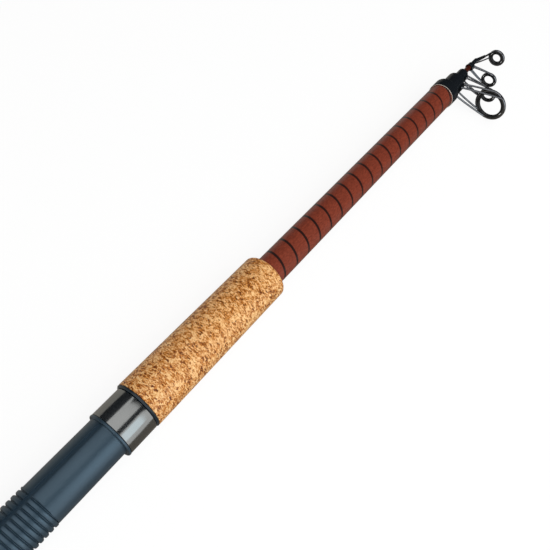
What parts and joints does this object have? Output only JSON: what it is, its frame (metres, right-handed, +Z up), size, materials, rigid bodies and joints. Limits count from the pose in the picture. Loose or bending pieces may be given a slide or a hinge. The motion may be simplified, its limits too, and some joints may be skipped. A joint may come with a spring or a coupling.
{
  "type": "telescopic fishing rod",
  "caption": "Closed telescopic fishing rod: cork grips and a screw reel seat on a hollow tapered blank, from which slimmer sections with line guides slide out.",
  "frame": {"origin": "centre of the flat end face of the butt cap's rubber bumper", "axes": "+X along the rod towards its tip, +Z up as the closed rod lies on a flat surface with its guides to -Y"},
  "size_m": [1.1552, 0.0686, 0.0338],
  "materials": {
    "blank": "clear-lacquered brown fibre composite",
    "cork": "agglomerated cork under a clear shrink film",
    "seat_plastic": "satin dark slate",
    "black_gloss": "gloss black",
    "dark_chrome": "polished dark chrome",
    "guide_metal": "polished gunmetal",
    "ceramic": "polished dark ceramic",
    "rubber": "matt black",
    "cream_trim": "gloss cream",
    "foam": "matt foam"
  },
  "bodies": {
    "handle": {"butt_blank": "blank", "blank_end_collar": "black_gloss", "collar_trim_ring": "cream_trim", "fore_grip": "cork", "seat_barrel": "seat_plastic", "fixed_hood_band": "dark_chrome", "seat_front_ring": "black_gloss", "seat_end_ring": "rubber", "rear_grip": "cork", "rear_grip_ring": "black_gloss", "butt_ferrule": "black_gloss", "butt_ferrule_trim": "dark_chrome"},
    "sliding_hood": {"sliding_hood": "dark_chrome"},
    "lock_nut": {"lock_nut": "seat_plastic", "lock_nut_grip": "rubber", "lock_nut_trim": "dark_chrome"},
    "cap_gasket": {"butt_cap_gasket": "rubber"},
    "butt_cap": {"butt_cap": "seat_plastic", "butt_cap_bumper": "rubber"},
    "rest_pad": {"section_rest_pad": "foam"},
    "section_2": {"section_2_blank": "blank", "section_2_guide_sleeve": "black_gloss", "section_2_guide_frame": "guide_metal", "section_2_guide_ring": "ceramic"},
    "section_3": {"section_3_blank": "blank", "section_3_guide_sleeve": "black_gloss", "section_3_guide_frame": "guide_metal", "section_3_guide_ring": "ceramic"},
    "section_4": {"section_4_blank": "blank", "section_4_guide_sleeve": "black_gloss", "section_4_guide_frame": "guide_metal", "section_4_guide_ring": "ceramic"},
    "tip_section": {"tip_blank": "blank", "tip_top_frame": "guide_metal", "tip_top_ring": "ceramic"}
  },
  "joints": [
    {"name": "hood_slide", "type": "slide", "parent": "handle", "child": "sliding_hood", "axis": [1, 0, 0], "range_m": [0, 0.028]},
    {"name": "nut_turn", "type": "hinge", "parent": "sliding_hood", "child": "lock_nut", "pos_m": [0.558, 0, 0], "axis": [1, 0, 0], "range_deg": [0, 2964]},
    {"name": "cap_slide", "type": "slide", "parent": "handle", "child": "cap_gasket", "axis": [-1, 0, 0], "range_m": [0, 0.015]},
    {"name": "cap_turn", "type": "hinge", "parent": "cap_gasket", "child": "butt_cap", "pos_m": [0.007, 0, 0], "axis": [-1, 0, 0], "range_deg": [0, 1800]},
    {"name": "nest_turn", "type": "hinge", "parent": "handle", "child": "rest_pad", "pos_m": [0.0333, 0, 0], "axis": [1, 0, 0], "continuous": true},
    {"name": "section_2_slide", "type": "slide", "parent": "rest_pad", "child": "section_2", "axis": [1, 0, 0], "range_m": [0, 0.926]},
    {"name": "section_3_slide", "type": "slide", "parent": "section_2", "child": "section_3", "axis": [1, 0, 0], "range_m": [0, 0.953]},
    {"name": "section_4_slide", "type": "slide", "parent": "section_3", "child": "section_4", "axis": [1, 0, 0], "range_m": [0, 0.973]},
    {"name": "tip_slide", "type": "slide", "parent": "section_4", "child": "tip_section", "axis": [1, 0, 0], "range_m": [0, 0.993]}
  ],
  "couplings": [
    {"joint": "hood_slide", "follows": "nut_turn", "m_per_rad": 0.00054113},
    {"joint": "cap_slide", "follows": "cap_turn", "m_per_rad": 0.00047746}
  ]
}
